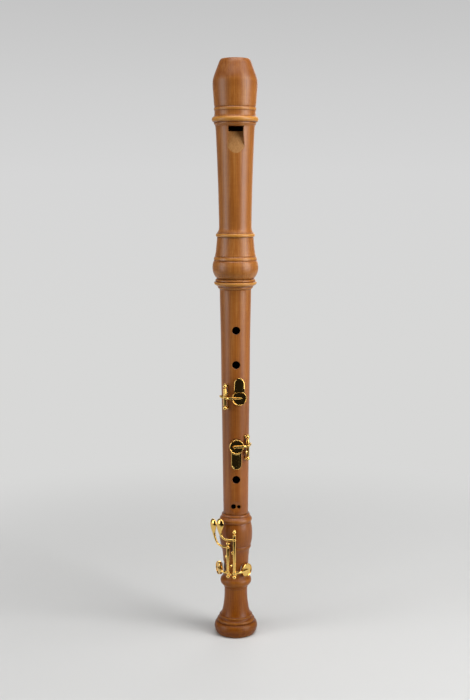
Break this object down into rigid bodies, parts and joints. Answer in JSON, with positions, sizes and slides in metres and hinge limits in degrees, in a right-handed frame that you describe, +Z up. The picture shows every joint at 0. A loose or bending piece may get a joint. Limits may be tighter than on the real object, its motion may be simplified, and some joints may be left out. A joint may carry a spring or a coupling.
{
  "type": "tenor recorder",
  "caption": "Turned fruitwood tenor recorder in three joints with beak, windway and window, gold keys over the third and fourth finger holes and a pair of gold foot keys.",
  "frame": {"origin": "centre of the flat bottom of the foot, on the bore axis", "axes": "+Z up along the bore towards the beak, the finger holes face -Y, +X to the right when the finger holes face the viewer"},
  "size_m": [0.0541, 0.0506, 0.645],
  "materials": {
    "fruitwood": "oiled and polished",
    "cedar": "bare",
    "cork": "ground",
    "gold_plate": "polished gold plate",
    "pad_leather": "matt kid leather",
    "spring_steel": "blued steel"
  },
  "bodies": {
    "foot_body": {"foot_joint": "fruitwood", "left_foot_key_low_post": "gold_plate", "left_foot_key_high_post": "gold_plate", "left_foot_key_rod": "gold_plate", "left_foot_key_spring": "spring_steel", "right_foot_key_low_post": "gold_plate", "right_foot_key_high_post": "gold_plate", "right_foot_key_rod": "gold_plate", "right_foot_key_spring": "spring_steel"},
    "middle_body": {"middle_joint": "fruitwood", "upper_tenon_lapping": "cork", "lower_tenon_lapping": "cork", "upper_key_low_post": "gold_plate", "upper_key_high_post": "gold_plate", "upper_key_rod": "gold_plate", "upper_key_spring": "spring_steel", "lower_key_low_post": "gold_plate", "lower_key_high_post": "gold_plate", "lower_key_rod": "gold_plate", "lower_key_spring": "spring_steel"},
    "head_body": {"head_joint": "fruitwood", "windway_block": "cedar"},
    "upper_key_body": {"upper_key": "gold_plate", "upper_key_pad": "pad_leather", "upper_key_stop_cork": "cork"},
    "lower_key_body": {"lower_key": "gold_plate", "lower_key_pad": "pad_leather", "lower_key_stop_cork": "cork"},
    "left_foot_key_body": {"left_foot_key": "gold_plate", "left_foot_key_pad": "pad_leather", "left_foot_key_stop_cork": "cork"},
    "right_foot_key_body": {"right_foot_key": "gold_plate", "right_foot_key_pad": "pad_leather", "right_foot_key_stop_cork": "cork"}
  },
  "joints": [
    {"name": "foot_turn", "type": "hinge", "parent": "foot_body", "child": "middle_body", "pos_m": [0, 0, 0.13], "axis": [0, 0, 1], "continuous": true},
    {"name": "head_pull", "type": "slide", "parent": "middle_body", "child": "head_body", "axis": [0, 0, 1], "range_m": [0, 0.008]},
    {"name": "upper_key_press", "type": "hinge", "parent": "middle_body", "child": "upper_key_body", "pos_m": [-0.01231, -0.01494, 0.279], "axis": [0, 0, 1], "range_deg": [0, 10], "stiffness_Nm_per_rad": 0.05, "springref_deg": -11.46},
    {"name": "lower_key_press", "type": "hinge", "parent": "middle_body", "child": "lower_key_body", "pos_m": [0.01304, -0.01327, 0.221], "axis": [0, 0, 1], "range_deg": [-10, 0], "stiffness_Nm_per_rad": 0.05, "springref_deg": 11.46},
    {"name": "left_foot_key_press", "type": "hinge", "parent": "foot_body", "child": "left_foot_key_body", "pos_m": [-0.00961, -0.01822, 0.092], "axis": [0, 0, 1], "range_deg": [-10, 0], "stiffness_Nm_per_rad": 0.05, "springref_deg": 11.46},
    {"name": "right_foot_key_press", "type": "hinge", "parent": "foot_body", "child": "right_foot_key_body", "pos_m": [-0.00261, -0.02094, 0.099], "axis": [0, 0, 1], "range_deg": [-10, 0], "stiffness_Nm_per_rad": 0.05, "springref_deg": 11.46}
  ]
}
